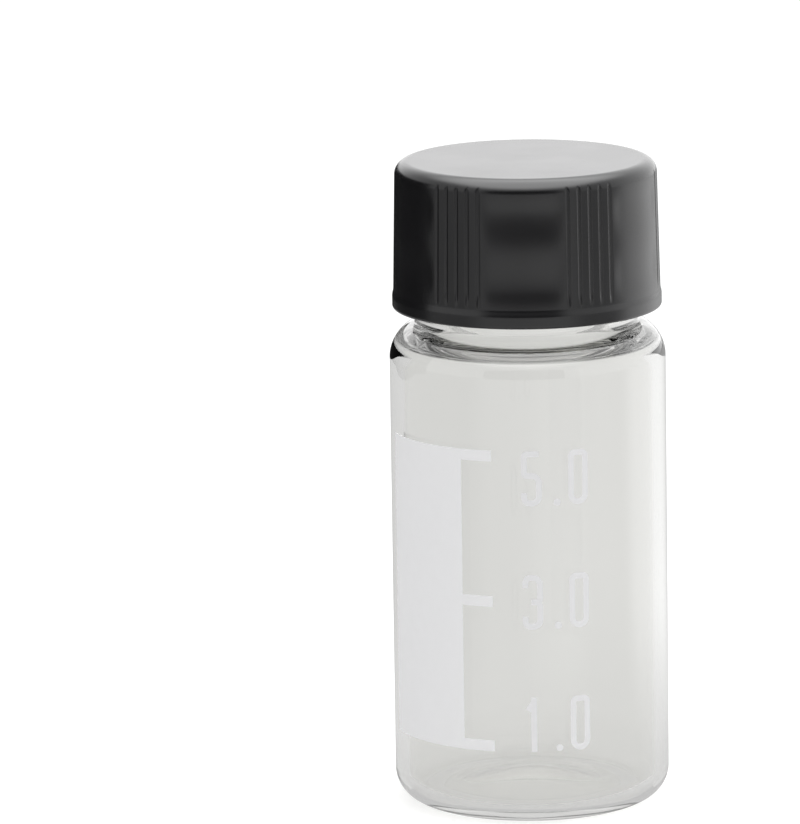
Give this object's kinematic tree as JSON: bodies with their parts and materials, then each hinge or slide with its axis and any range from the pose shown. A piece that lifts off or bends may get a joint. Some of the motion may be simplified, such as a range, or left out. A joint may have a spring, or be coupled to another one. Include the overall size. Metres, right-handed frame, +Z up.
{
  "type": "screw-cap glass sample vial",
  "caption": "Small clear glass vial with a rounded shoulder, a printed filling scale and a grooved black screw cap over a sealing liner.",
  "frame": {"origin": "on the vial's axis, in the plane of the foot ring that it stands on", "axes": "+Z up the axis from the base to the cap; -Y towards the front, where the numbers of the scale are read; +X to the reader's right"},
  "size_m": [0.018, 0.018, 0.0423],
  "materials": {
    "clear_glass": "clear and smooth, flame worked",
    "white_enamel": "matt fired enamel",
    "liner_foam": "smooth foam sheet",
    "black_plastic": "satin moulded"
  },
  "bodies": {
    "vial": {"glass_vial": "clear_glass", "printed_scale": "white_enamel"},
    "liner": {"cap_liner": "liner_foam"},
    "cap": {"screw_cap": "black_plastic"}
  },
  "joints": [
    {"name": "cap_lift", "type": "slide", "parent": "vial", "child": "liner", "axis": [0, 0, 1], "range_m": [0, 0.00424]},
    {"name": "cap_turn", "type": "hinge", "parent": "liner", "child": "cap", "pos_m": [0, 0, 0.0327], "axis": [0, 0, 1], "range_deg": [0, 720]}
  ],
  "couplings": [
    {"joint": "cap_turn", "follows": "cap_lift", "rad_per_m": 2963.8}
  ]
}
